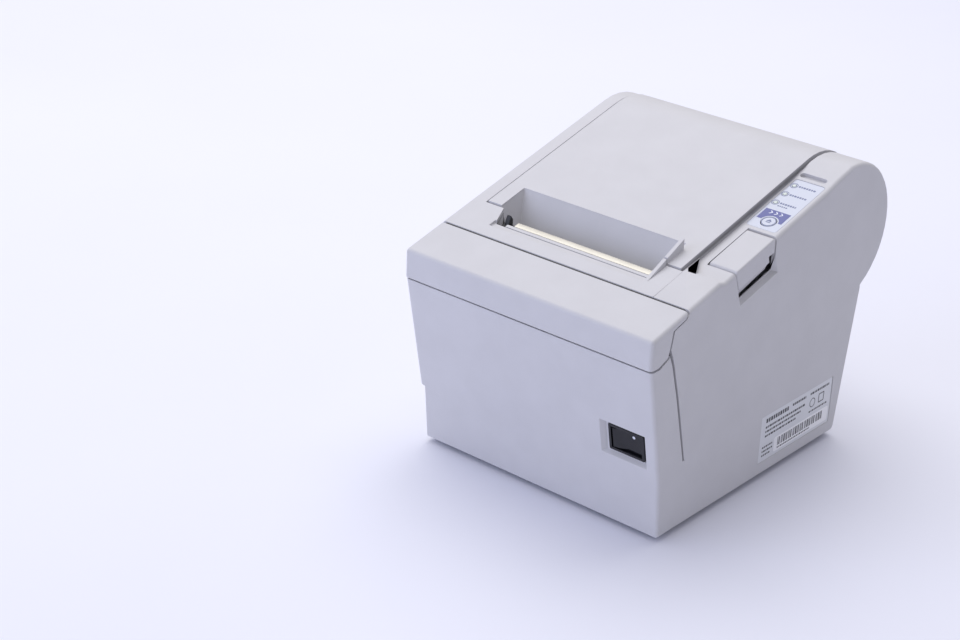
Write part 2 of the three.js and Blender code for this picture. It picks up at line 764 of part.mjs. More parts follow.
// outline of a gear with involute flanks; the first tooth lies at the given angle
function gearOutline(teeth, size, phase) {
  const pitch = (teeth * size) / 2;
  const base = pitch * Math.cos(radians(20));
  const tip = pitch + 0.85 * size;
  const root = pitch - 1.15 * size;
  const involute = (r) => Math.sqrt(Math.max(0, (r / base) ** 2 - 1)) - Math.acos(Math.min(1, base / r));
  const halfTooth = (Math.PI / (2 * teeth)) * 0.82;
  const flank = [root, Math.max(base, root + 0.1), pitch, tip];
  const points = [];
  for (let k = 0; k < teeth; k += 1) {
    const middle = phase + (2 * Math.PI * k) / teeth;
    const side = flank.map((r) => [r, halfTooth + involute(pitch) - involute(Math.max(r, base))]);
    side.forEach(([r, half]) => points.push([r * Math.cos(middle - half), r * Math.sin(middle - half)]));
    side.reverse().forEach(([r, half]) => {
      points.push([r * Math.cos(middle + half), r * Math.sin(middle + half)]);
    });
  }
  return points;
}

// phase of a gear that meshes with another one whose tooth phase is known
function meshingPhase(phase, teeth, direction, otherTeeth) {
  const offset = (phase - direction) / ((2 * Math.PI) / teeth);
  return direction + Math.PI - (offset + 0.5) * ((2 * Math.PI) / otherTeeth);
}

function gearTrain() {
  const reach = ((PLATEN_TEETH + IDLER_TEETH) * GEAR_MODULE) / 2;
  const idlerZ = PLATEN_Z - reach;
  const pinionReach = ((PINION_TEETH + IDLER_TEETH) * GEAR_MODULE) / 2;
  const pinionAngle = radians(PINION_DIRECTION);
  const pinionY = PLATEN_Y + pinionReach * Math.cos(pinionAngle);
  const pinionZ = idlerZ + pinionReach * Math.sin(pinionAngle);
  const platenPhase = meshingPhase(0, IDLER_TEETH, Math.PI / 2, PLATEN_TEETH);
  const pinionPhase = meshingPhase(0, IDLER_TEETH, pinionAngle, PINION_TEETH);
  const gear = (teeth, phase, bore) =>
    alongX(gearOutline(teeth, GEAR_MODULE, phase), GEAR_X[0], GEAR_X[1]).subtract(
      cylinderX(bore, -80, 80, 0, 0, 16),
    );
  const platenGear = gear(PLATEN_TEETH, platenPhase, SHAFT_RADIUS + 0.3);
  addPart(coverGroup, 'platen_gear', platenGear, GEAR_PLASTIC).position.set(0, PLATEN_Y, PLATEN_Z);
  const idler = gear(IDLER_TEETH, 0, 2.3);
  addPart(mechanism, 'idler_gear', idler, GEAR_PLASTIC).position.set(0, PLATEN_Y, idlerZ);
  const pinion = gear(PINION_TEETH, pinionPhase, 1.3);
  addPart(mechanism, 'motor_pinion', pinion, BRASS).position.set(0, pinionY, pinionZ);
  const stub = new THREE.CylinderGeometry(2, 2, 4.2, 16).rotateZ(Math.PI / 2);
  addPart(mechanism, 'idler_stub', stub, ZINC_STEEL).position.set(-61, PLATEN_Y, idlerZ);
  return { pinionY, pinionZ };
}

// ---- print mechanism --------------------------------------------------------------------------
function chassis({ pinionY, pinionZ }) {
  const [left, right] = SIDE_PLATES;
  const outline = [
    [left[0], 6.2],
    [left[1], 6.2],
    [left[1], 52],
    [right[0], 52],
    [right[0], 6.2],
    [right[1], 6.2],
    [right[1], 105],
    [right[0], 105],
    [right[0], 53.5],
    [left[1], 53.5],
    [left[1], 105],
    [left[0], 105],
  ];
  const notch = block([-70, 70], [PLATEN_Y - 5, PLATEN_Y + 5], [PLATEN_Z - 5, 130]);
  const motorHole = cylinderX(4.2, -70, -50, pinionY, pinionZ, 20);
  addPart(mechanism, 'chassis', cutBy(alongY(outline, ...CHASSIS_Y), [notch, motorHole]), ZINC_STEEL);
}

function printHead() {
  const rear = PLATEN_Y - PLATEN_RADIUS - 0.4;
  const sink = joined([
    block([-51, 34], [rear - 3, rear - 1], [82, 106]),
    block([-51, 34], [rear - 5.5, rear - 2.5], [80, 84]),
    block([-48, 31], [rear - 1.2, rear], [92, 104.6]),
  ]);
  addPart(mechanism, 'print_head', sink, ALUMINIUM);
  const back = block([-56.6, 46.8], [-55.6, -54.4], [78, 105]);
  const lips = HEAD_SPRING_X.map((x) => cylinderY(2.2, -54.8, -53.6, x, HEAD_SPRING_Z, 12));
  addPart(mechanism, 'head_back_plate', joined([back, ...lips]), ZINC_STEEL);
}

function coil(radius, wire, length, turns, sides, stepsPerTurn) {
  class Helix extends THREE.Curve {
    getPoint(t) {
      const angle = 2 * Math.PI * turns * t;
      return new THREE.Vector3(length * t, radius * Math.cos(angle), radius * Math.sin(angle));
    }
  }
  const section = new THREE.Shape(
    Array.from({ length: sides }, (_, k) => {
      const angle = (2 * Math.PI * k) / sides;
      return new THREE.Vector2(wire * Math.cos(angle), wire * Math.sin(angle));
    }),
  );
  return new THREE.ExtrudeGeometry(section, { steps: turns * stepsPerTurn, extrudePath: new Helix() });
}

function springs() {
  HEAD_SPRING_X.forEach((x, i) => {
    const spring = coil(3, 0.4, 2.0, 2, 6, 12);
    const mesh = addPart(mechanism, `head_spring_${i + 1}`, spring, ZINC_STEEL);
    mesh.rotation.z = Math.PI / 2;
    mesh.position.set(x, -53.9, HEAD_SPRING_Z);
  });
  const lever = addPart(printer, 'lever_spring', coil(LEVER_SPRING_RADIUS, 0.22, 1.5, 3, 6, 12), ZINC_STEEL);
  lever.position.set(54.9, ...LEVER_PIVOT);
}

function feedMotor({ pinionY, pinionZ }) {
  const can = cylinderX(11, -56.4, -36, 0, 0, 32);
  const flange = block([-56.6, -55.2], [-16, 16], [-7, 7]);
  const shaft = cylinderX(1, -63, -50, 0, 0, 12);
  const boss = cylinderX(3.6, -59.2, -50, 0, 0, 16);
  const motor = addPart(mechanism, 'feed_motor', joined([can, flange, boss, shaft]), DARK_GREY);
  motor.position.set(0, pinionY, pinionZ);
  return motor;
}

function rollTray() {
  const wall = 2;
  const steps = 20;
  const cradle = (radius, top, front, rear) => {
    const points = Array.from({ length: steps + 1 }, (_, k) => {
      const angle = radians(180 + (180 * k) / steps);
      return [ROLL_Y + radius * Math.cos(angle), ROLL_Z + radius * Math.sin(angle)];
    });
    return [...points, [rear, top], [front, top]];
  };
  const half = ROLL_WIDTH / 2;
  const outer = cradle(ROLL_RADIUS + wall, 112, ROLL_Y - ROLL_RADIUS - wall, ROLL_Y + ROLL_RADIUS + wall);
  const inner = cradle(ROLL_RADIUS, 130, ROLL_Y - ROLL_RADIUS, ROLL_Y + ROLL_RADIUS);
  const shell = alongX(outer, ROLL_X - half - wall, ROLL_X + half + wall).subtract(
    alongX(inner, ROLL_X - half, ROLL_X + half),
  );
  const window = block([ROLL_X - half - 5, ROLL_X - half + 1], [8, 24], [70, 82]);
  addPart(mechanism, 'roll_tray', shell.subtract(window), COOL_GREY);
}

// ---- cutter -------------------------------------------------------------------------------
function rackTeeth(count) {
  const pitch = Math.PI * CUTTER_MODULE;
  const points = [];
  for (let k = 0; k < count; k += 1) {
    const middle = k * pitch;
    points.push([-1.15, middle - 1.12], [0.85, middle - 0.38], [0.85, middle + 0.38], [-1.15, middle + 1.12]);
  }
  return points;
}

function cutter() {
  const pitchRadius = (CUTTER_TEETH * CUTTER_MODULE) / 2;
  const centreX = RACK_X + pitchRadius;
  const plate = alongZ(
    [
      [-51, BLADE_FRONT],
      [38, BLADE_FRONT],
      [38, BLADE_EDGE],
      [ROLL_X, BLADE_EDGE - 4],
      [-51, BLADE_EDGE],
    ],
    BLADE_Z,
    BLADE_Z + BLADE_THICKNESS,
  );
  const pitch = Math.PI * CUTTER_MODULE;
  const teeth = rackTeeth(5).map(([u, v]) => [RACK_X + u, CUTTER_Y - 3 * pitch + v]);
  const rackOutline = [...teeth, [37, CUTTER_Y + 1.4 * pitch], [37, CUTTER_Y - 3.4 * pitch]];
  const rack = alongZ(rackOutline, BLADE_Z, BLADE_Z + BLADE_THICKNESS);
  addPart(mechanism, 'moving_blade', joined([plate, rack]), BRIGHT_STEEL);
  const phase = Math.PI + Math.PI / CUTTER_TEETH;
  const outline = gearOutline(CUTTER_TEETH, CUTTER_MODULE, phase);
  const gear = alongZ(outline, -0.4, 1.6).subtract(cylinderZ(1.6, -5, 5, 0, 0, 16));
  const wheel = addPart(mechanism, 'cutter_gear', gear, GEAR_PLASTIC);
  wheel.position.set(centreX, CUTTER_Y, BLADE_Z - 0.2);
  const can = joined([
    cylinderZ(8.5, 84, 106, 0, 0, 28),
    cylinderZ(1.2, 100, 110.6, 0, 0, 12),
    block([-12, 12], [-4, 4], [104.8, 106]),
  ]);
  addPart(mechanism, 'cutter_motor', can, DARK_GREY).position.set(centreX, CUTTER_Y, 0);
}

function cutterFrame() {
  const plate = block([-55, 62], [-84, -58.6], [106.4, 107.6]);
  const rails = [
    block([-54.5, -52], [-76, -58.6], [107, 110.4]),
    block([-50, 37], [-84, -82.4], [107, 108.2]),
  ];
  const shaftHole = cylinderZ(2.4, 100, 112, RACK_X + (CUTTER_TEETH * CUTTER_MODULE) / 2, CUTTER_Y, 16);
  addPart(mechanism, 'cutter_frame', joined([plate, ...rails]).subtract(shaftHole), ZINC_STEEL);
}

function tearBar() {
  const holder = joined([
    block([-48, 40], [-58.6, -53], [111.4, 114.6]),
    alongX(
      [
        [-56.5, 113],
        [-52.6, 113],
        [-52.6, 117.5],
        [-54.2, 119.6],
        [-55.4, 117],
      ],
      -46.8,
      -44.4,
    ),
  ]);
  addPart(mechanism, 'tear_bar_holder', holder, BLACK_PLASTIC);
  const bar = [
    [-58.6, 115],
    [-53.2, 115],
    [-52.6, 117.3],
    [-53.4, 117.6],
    [-58.6, 116],
  ];
  addPart(mechanism, 'tear_bar', alongX(bar, -40, 39.6), BRIGHT_STEEL);
  const fixed = alongX(
    [
      [-46.6, 107.4],
      [-41.2, 107.4],
      [-41.2, 108.6],
      [-46, 108.6],
    ],
    -49.1,
    39.1,
  );
  addPart(coverGroup, 'fixed_blade', fixed, BRIGHT_STEEL);
}

// ---- lever --------------------------------------------------------------------------------
function coverLever() {
  const outline = rounded([
    [-31.4, 106.4],
    [-8.2, 113.8],
    [-10.2, 121.2],
    [-5.9, 121.9],
    [-6.2, 129.7, 1.6],
    [-37, 121.5, 1.8],
  ]);
  const [x0, x1] = LEVER_X;
  const body = alongX(outline, x0, x1, 0.8);
  const scoop = new THREE.CylinderGeometry(13, 13, 60, 40);
  const tilt = Math.atan(PANEL_SLOPE);
  const tool = toSolid(scoop.rotateX(tilt).translate(x1 + 9.2, -19, 106.5));
  const bore = cylinderX(LEVER_PIN_RADIUS + BORE_CLEARANCE, 50, 71.2, ...LEVER_PIVOT, 16);
  addPart(printer, 'cover_lever', body.subtract(tool).subtract(bore), COOL_WHITE);
  const pin = new THREE.CylinderGeometry(LEVER_PIN_RADIUS, LEVER_PIN_RADIUS, 16.6, 16).rotateZ(Math.PI / 2);
  addPart(printer, 'lever_pin', pin, ZINC_STEEL).position.set(61.3, ...LEVER_PIVOT);
}

// ---- control panel ------------------------------------------------------------------------
function controlPanel() {
  const [width, length] = PLATE_SIZE;
  const flat = alongZ(rectangle(-width / 2, width / 2, -length / 2, length / 2, 1.3), -0.6, 0);
  const plate = onPanel(flat, PLATE_X, PLATE_Y).subtract(panelHoles(0.3));
  addPart(printer, 'control_panel', plate, PALE_DECAL);
  const tilt = Math.atan(PANEL_SLOPE);
  const button = new THREE.CylinderGeometry(BUTTON_RADIUS, BUTTON_RADIUS, BUTTON_LENGTH, 32);
  button.rotateX(Math.PI / 2).translate(0, 0, -BUTTON_LENGTH / 2);
  const cap = addPart(printer, 'feed_button', button, PALE_DECAL);
  cap.position.set(BUTTON_X, BUTTON_Y, panelZ(BUTTON_Y));
  cap.rotation.x = tilt;
  const colours = { lamp_power: LAMP_GREEN, lamp_error: LAMP_RED, lamp_paper: LAMP_RED };
  Object.entries(colours).forEach(([name, colour], i) => {
    const lens = new THREE.CylinderGeometry(LAMP_RADIUS, LAMP_RADIUS, LAMP_LENGTH, 16).rotateX(Math.PI / 2);
    const lamp = addPart(printer, name, lens.translate(0, 0, -LAMP_LENGTH / 2), colour);
    lamp.position.set(LAMP_X, LAMP_ROWS[i], panelZ(LAMP_ROWS[i]));
    lamp.rotation.x = tilt;
  });
  const board = block([-7, 7.4], [-20, 20], [-10.2, -9]);
  addPart(electronics, 'panel_board', onPanel(board, PLATE_X + 0.2, PLATE_Y), BOARD_GREEN);
}

// ---- power switch -------------------------------------------------------------------------
function powerSwitch() {
  const [w, h] = SWITCH_SIZE.map((size) => size / 2);
  const bezel = alongY(rectangle(-w, w, -h, h, 0.8), DISH_DEPTH - 1, DISH_DEPTH + 1.5);
  const housing = alongY(rectangle(-w + 1, w - 1, -h + 1, h - 1), DISH_DEPTH + 1, DISH_DEPTH + 14);
  const terminalY = [DISH_DEPTH + 13, DISH_DEPTH + 21];
  const terminals = [-5, 0, 5].map((x) => block([x - 0.4, x + 0.4], terminalY, [-2.4, 2.4]));
  const well = alongY(rectangle(-w + 1.4, w - 1.4, -h + 1.4, h - 1.4), -4, DISH_DEPTH + 9);
  const body = joined([bezel, housing, ...terminals]).subtract(well);
  addPart(electronics, 'switch_body', onFront(body), GLOSS_BLACK);
  const half = w - 1.9;
  const outline = rounded([
    [-2.5, 1.9],
    [-half, -1.6],
    [-half, -3.9, 0.3],
    [0, -3],
    [half, -3.9, 0.3],
    [half, -1.6],
    [2.5, 1.9],
  ]);
  const rocker = alongZ(outline, 1.9 - h, h - 1.9).rotate([0, 0, ROCKER_TILT]);
  const set = onFront(rocker.translate([0, DISH_DEPTH + ROCKER_PIVOT_DEPTH, 0]));
  addPart(electronics, 'power_rocker', set, GLOSS_BLACK);
}

// ---- base, board and sockets --------------------------------------------------------------
function lowerCase() {
  const plate = block([-66.3, 69.6], [-78.4, 65], [BASE_Z + 0.4, 5.6]);
  const posts = SCREW_SPOTS.map(([x, y]) => cylinderZ(4, 5, 11.6, x, y, 20));
  const vents = Array.from({ length: 9 }, (_, k) => block([-24 + 6 * k, -21 + 6 * k], [-20, 10], [0, 8]));
  const feet = Object.values(FOOT_SPOTS).map(([x, y]) => cylinderZ(2.4, 0, 8, x, y, 16));
  const bores = SCREW_SPOTS.map(([x, y]) => cylinderZ(1.9, 0, 14, x, y, 16));
  const sinks = SCREW_SPOTS.map(([x, y]) => cylinderZ(3.4, 0, 5, x, y, 20));
  const body = cutBy(joined([plate, ...posts]), [...vents, ...feet, ...bores, ...sinks]);
  addPart(printer, 'lower_case', body, COOL_GREY);
}

function feet() {
  Object.entries(FOOT_SPOTS).forEach(([name, [x, y]]) => {
    const profile = [
      [0, 0],
      [6.4, 0],
      [7, 0.6],
      [7, 2.6],
      [2, 2.6],
      [2, 6.4],
      [0, 6.4],
    ].map(([r, z]) => new THREE.Vector2(r, z));
    const pad = new THREE.LatheGeometry(profile, 24).rotateX(Math.PI / 2);
    addPart(printer, `foot_${name}`, pad, RUBBER_BLACK).position.set(x, y, 0);
  });
}

function baseScrews() {
  const profile = [
    [0, 3],
    [3, 3],
    [3, 4.7],
    [1.5, 4.7],
    [1.5, 15],
    [0, 15],
  ].map(([r, z]) => new THREE.Vector2(r, z));
  SCREW_SPOTS.forEach(([x, y], i) => {
    const screw = new THREE.LatheGeometry(profile, 20).rotateX(Math.PI / 2);
    addPart(printer, `base_screw_${i + 1}`, screw, ZINC_STEEL).position.set(x, y, 0);
  });
}

function mainBoard() {
  const board = block([-52, 60], [-28, 52], [12, 13.6]);
  const chips = [
    block([-10, 12], [-4, 18], [13, 16]),
    block([24, 36], [-14, 8], [13, 15.6]),
    block([-40, -30], [14, 34], [13, 18]),
  ];
  const holes = SCREW_SPOTS.map(([x, y]) => cylinderZ(2.1, 0, 20, x, y, 16));
  addPart(electronics, 'main_board', cutBy(joined([board, ...chips]), holes), BOARD_GREEN);
}

function sockets() {
  const plateHoles = [
    block([-46.4, -29.6], [54, 64], [15.6, 32.4]),
    block([-23.4, -8.6], [54, 64], [15.6, 31.4]),
    block([-0.4, 47.4], [54, 64], [17.6, 30.4]),
  ];
  const plate = cutBy(block([-54, 54], [57.6, 59], [10, 48]), plateHoles);
  addPart(electronics, 'connector_plate', plate, ZINC_STEEL);
  const inletPins = [
    [-38, 27.4],
    [-41, 22.3],
    [-35, 22.3],
  ];
  const inlet = block([-46, -30], [44, SOCKET_FACE_Y], [16, 32])
    .subtract(cylinderY(6.6, 52, 70, -38, 24, 28))
    .add(joined(inletPins.map(([x, z]) => cylinderY(0.8, 50, 62, x, z, 10))));
  addPart(electronics, 'dc_inlet', inlet, BLACK_PLASTIC);
  const keyway = joined([
    block([-21.6, -10.4], [50, 70], [19, 26]),
    block([-19.2, -12.8], [50, 70], [25, 28.6]),
  ]);
  const drawer = block([-23, -9], [46, SOCKET_FACE_Y], [16, 31]).subtract(keyway);
  addPart(electronics, 'drawer_socket', drawer, BLACK_PLASTIC);
  // the data socket: a D-shaped outline round its middle, shrunk by a margin
  const dShape = (margin, radius) =>
    rounded([
      [2 + margin, 18.6 + margin, radius],
      [45 - margin, 18.6 + margin, radius],
      [46.4 - margin, 29.4 - margin, radius],
      [0.6 + margin, 29.4 - margin, radius],
    ]);
  const shell = alongY(dShape(0, 2), 46, SOCKET_FACE_Y);
  const mouth = alongY(dShape(1.3, 1.5), 56, 70);
  const core = alongY(dShape(3.6, 0.6), 55, 63);
  addPart(electronics, 'interface_socket', shell.subtract(mouth).add(core), ALUMINIUM);
}

function ratingLabel() {
  addPart(printer, 'rating_label', block([HALF_WIDTH - 0.3, HALF_WIDTH], LABEL_Y, LABEL_Z), LABEL_WHITE);
}

upperCase();
frontCover();
paperCover();
hingePins();
platenFrame();
platen();
const pinionPlace = gearTrain();
chassis(pinionPlace);
printHead();
springs();
feedMotor(pinionPlace);
rollTray();
cutter();
cutterFrame();
tearBar();
coverLever();
controlPanel();
powerSwitch();
lowerCase();
feet();
baseScrews();
mainBoard();
sockets();
ratingLabel();

export default printer;
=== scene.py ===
"""Receipt printer: materials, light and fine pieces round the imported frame.

Stage, lights and modifiers are in metres. The fine pieces are laid out in mm and scaled when they are made.
"""

import json
import math

import bmesh
import bpy
from mathutils import Matrix, Vector


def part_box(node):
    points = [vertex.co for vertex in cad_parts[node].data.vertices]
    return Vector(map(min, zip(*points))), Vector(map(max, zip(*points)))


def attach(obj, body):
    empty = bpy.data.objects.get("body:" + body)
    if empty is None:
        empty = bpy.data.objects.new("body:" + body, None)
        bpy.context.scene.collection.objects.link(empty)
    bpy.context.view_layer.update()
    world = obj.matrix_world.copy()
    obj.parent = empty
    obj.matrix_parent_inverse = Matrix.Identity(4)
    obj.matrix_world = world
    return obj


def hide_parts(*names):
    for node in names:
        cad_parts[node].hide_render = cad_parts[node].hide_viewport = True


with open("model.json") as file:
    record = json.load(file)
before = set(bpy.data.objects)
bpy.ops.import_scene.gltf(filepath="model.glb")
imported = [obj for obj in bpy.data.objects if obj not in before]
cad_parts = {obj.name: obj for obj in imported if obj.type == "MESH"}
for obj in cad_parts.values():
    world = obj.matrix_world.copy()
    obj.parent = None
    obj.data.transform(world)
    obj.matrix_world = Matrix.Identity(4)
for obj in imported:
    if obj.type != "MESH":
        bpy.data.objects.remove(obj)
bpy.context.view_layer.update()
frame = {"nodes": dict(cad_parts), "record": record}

NODES = frame["nodes"]
MM = 0.001

# ---- the camera, solved once for the whole printer ------------------------------------------
CAMERA_PLACE = (0.5266, -0.7595, 0.4868)
CAMERA_YAW = -39.80
CAMERA_PITCH = 24.955
CAMERA_ROLL = 2.350
CAMERA_LENS = 77.3
SENSOR_WIDTH = 36.0

# ---- edge sizes -----------------------------------------------------------------------------
CASING = ("upper_case", "front_cover", "paper_cover", "cover_lever")
CASING_EDGE = 0.25  # mm
PART_EDGE = 0.12  # mm
BEVEL_FROM = math.radians(40)  # edges sharper than this are rounded
SHADE_FROM = math.radians(38)  # edges sharper than this stay sharp in the shading
FLAT_WITHIN = math.radians(0.5)
WELD_DISTANCE = 2e-6  # m

# ---- stage and print ------------------------------------------------------------------------
FLOOR_HALF = 6.0
FLOOR_COLOUR = (0.83, 0.84, 0.93)
PRINT_ON_PANEL = (-0.12, -0.04)  # mm under the panel's surface, from and to
PRINT_ON_LABEL = (-0.21, -0.16)

# ---- sizes that the frame's boxes don't give ------------------------------------------------
# in mm, in the row frame; the same as the CAD's driving dimensions
HALF_WIDTH = 72.5
PANEL_FRONT = (-44.5, 119.0)
PANEL_SLOPE = 0.267
PLATE_MIDDLE = (61.5, 17.6)
PLATE_SIZE = (16.2, 42.4)
BUTTON = (61.8, 3.3, 3.6)
LAMPS = [(55.6, 33.1), (55.6, 25.5), (55.6, 17.8)]
FRONT_CREASE = (-84.3, 31.3)
FRONT_LEAN = math.atan2(12.5, 60.6)
SWITCH_PLACE = (54.4, 47.3)
ROCKER_DEPTH = 5.7
ROCKER_TILT = math.radians(5)
LABEL_Y = (-1.1, 61.7)
LABEL_Z = (9.8, 34.7)
TEAR_BAR_X = (-40.0, 39.6)
DECK_POINT = (-72.0, 113.9)
DECK_SLOPE = 0.262
DATA_SOCKET = (23.5, 24.0)
DRAWER_SOCKET = (-16.0, 23.5)
SOCKET_FACE_Y = 66.0


# ---- stage ----------------------------------------------------------------------------------
def make_camera():
    yaw, pitch, roll = (math.radians(a) for a in (CAMERA_YAW, CAMERA_PITCH, CAMERA_ROLL))
    forward = Vector((math.sin(yaw) * math.cos(pitch), math.cos(yaw) * math.cos(pitch), -math.sin(pitch)))
    right = forward.cross(Vector((0, 0, 1))).normalized()
    up = right.cross(forward)
    right_rolled = math.cos(roll) * right + math.sin(roll) * up
    up_rolled = math.cos(roll) * up - math.sin(roll) * right
    data = bpy.data.cameras.new("camera")
    data.lens = CAMERA_LENS
    data.sensor_width = SENSOR_WIDTH
    data.clip_start = 0.02
    data.clip_end = 20.0
    camera = bpy.data.objects.new("camera", data)
    turn = Matrix((right_rolled, up_rolled, -forward)).transposed()
    camera.matrix_world = Matrix.Translation(CAMERA_PLACE) @ turn.to_4x4()
    bpy.context.scene.collection.objects.link(camera)
    bpy.context.scene.camera = camera


def area_light(name, place, target, size, power, colour):
    data = bpy.data.lights.new(name, "AREA")
    data.shape = "RECTANGLE"
    data.size, data.size_y = size
    data.energy = power
    data.color = colour
    light = bpy.data.objects.new(name, data)
    light.location = place
    light.rotation_mode = "QUATERNION"
    light.rotation_quaternion = (Vector(target) - Vector(place)).to_track_quat("-Z", "Y")
    bpy.context.scene.collection.objects.link(light)


def make_light():
    middle = (0, 0, 0.07)
    area_light("key_softbox", (-0.55, 0.40, 1.6), middle, (2.0, 1.8), 23.5, (1.0, 0.985, 0.975))
    area_light("front_fill", (-0.9, -1.7, 0.6), middle, (1.9, 1.2), 14, (0.64, 0.71, 1.0))
    world = bpy.data.worlds.new("studio")
    world.use_nodes = True
    background = world.node_tree.nodes["Background"]
    background.inputs["Color"].default_value = (0.90, 0.90, 1.0, 1)
    background.inputs["Strength"].default_value = 0.52
    bpy.context.scene.world = world
    bpy.context.scene.view_settings.view_transform = "Standard"
    bpy.context.scene.view_settings.look = "None"


def make_floor():
    mesh = bpy.data.meshes.new("floor")
    half = FLOOR_HALF
    corners = [(-half, -half, 0), (half, -half, 0), (half, half, 0), (-half, half, 0)]
    mesh.from_pydata(corners, [], [(0, 1, 2, 3)])
    floor = bpy.data.objects.new("floor", mesh)
    bpy.context.scene.collection.objects.link(floor)
    material, shader = new_material("floor_paper", FLOOR_COLOUR, 0.6)
    mottle(material, shader, FLOOR_COLOUR, 0.01, 4)
    floor.data.materials.append(material)


# ---- materials ------------------------------------------------------------------------------
def new_material(name, colour, roughness, metallic=0.0):
    material = bpy.data.materials.new(name)
    material.use_nodes = True
    shader = material.node_tree.nodes["Principled BSDF"]
    shader.inputs["Base Color"].default_value = (*colour, 1)
    shader.inputs["Roughness"].default_value = roughness
    shader.inputs["Metallic"].default_value = metallic
    return material, shader


def object_place(material):
    """The place on the object, in metres."""
    return material.node_tree.nodes.new("ShaderNodeTexCoord").outputs["Object"]


def noise(material, scale, detail=3.0, stretch=(1, 1, 1)):
    nodes, links = material.node_tree.nodes, material.node_tree.links
    mapping = nodes.new("ShaderNodeMapping")
    mapping.inputs["Scale"].default_value = stretch
    links.new(object_place(material), mapping.inputs["Vector"])
    texture = nodes.new("ShaderNodeTexNoise")
    texture.inputs["Scale"].default_value = scale
    texture.inputs["Detail"].default_value = detail
    links.new(mapping.outputs["Vector"], texture.inputs["Vector"])
    return texture.outputs["Fac"]


def ranged(material, value, low, high):
    """Stretches the middle of a 0 to 1 value, from 0.3 to 0.7, over low to high."""
    node = material.node_tree.nodes.new("ShaderNodeMapRange")
    node.inputs["From Min"].default_value = 0.3
    node.inputs["From Max"].default_value = 0.7
    node.inputs["To Min"].default_value = low
    node.inputs["To Max"].default_value = high
    material.node_tree.links.new(value, node.inputs["Value"])
    return node.outputs["Result"]


def mottle(material, shader, colour, share, scale):
    """Lets the base colour drift by a small share over patches of about 1 / scale metres."""
    nodes, links = material.node_tree.nodes, material.node_tree.links
    ramp = nodes.new("ShaderNodeValToRGB")
    ramp.color_ramp.elements[0].position = 0.3
    ramp.color_ramp.elements[1].position = 0.7
    ramp.color_ramp.elements[0].color = (*[c * (1 - share) for c in colour], 1)
    ramp.color_ramp.elements[1].color = (*[min(1.0, c * (1 + share)) for c in colour], 1)
    links.new(noise(material, scale), ramp.inputs["Fac"])
    links.new(ramp.outputs["Color"], shader.inputs["Base Color"])


def grain(material, shader, height, scale, detail=2.0, stretch=(1, 1, 1)):
    """A fine bump; height is in metres."""
    bump = material.node_tree.nodes.new("ShaderNodeBump")
    bump.inputs["Distance"].default_value = height
    bump.inputs["Strength"].default_value = 1.0
    material.node_tree.links.new(noise(material, scale, detail, stretch), bump.inputs["Height"])
    material.node_tree.links.new(bump.outputs["Normal"], shader.inputs["Normal"])


def textured(
    name, colour, roughness, spread, grain_height, grain_scale, mottled=0.02, metallic=0.0, stretch=(1, 1, 1)
):
    material, shader = new_material(name, colour, roughness, metallic)
    mottle(material, shader, colour, mottled, 60)
    patches = noise(material, grain_scale * 0.5, 2.0, stretch)
    material.node_tree.links.new(
        ranged(material, patches, roughness - spread, roughness + spread), shader.inputs["Roughness"]
    )
    grain(material, shader, grain_height, grain_scale, 2.0, stretch)
    return material


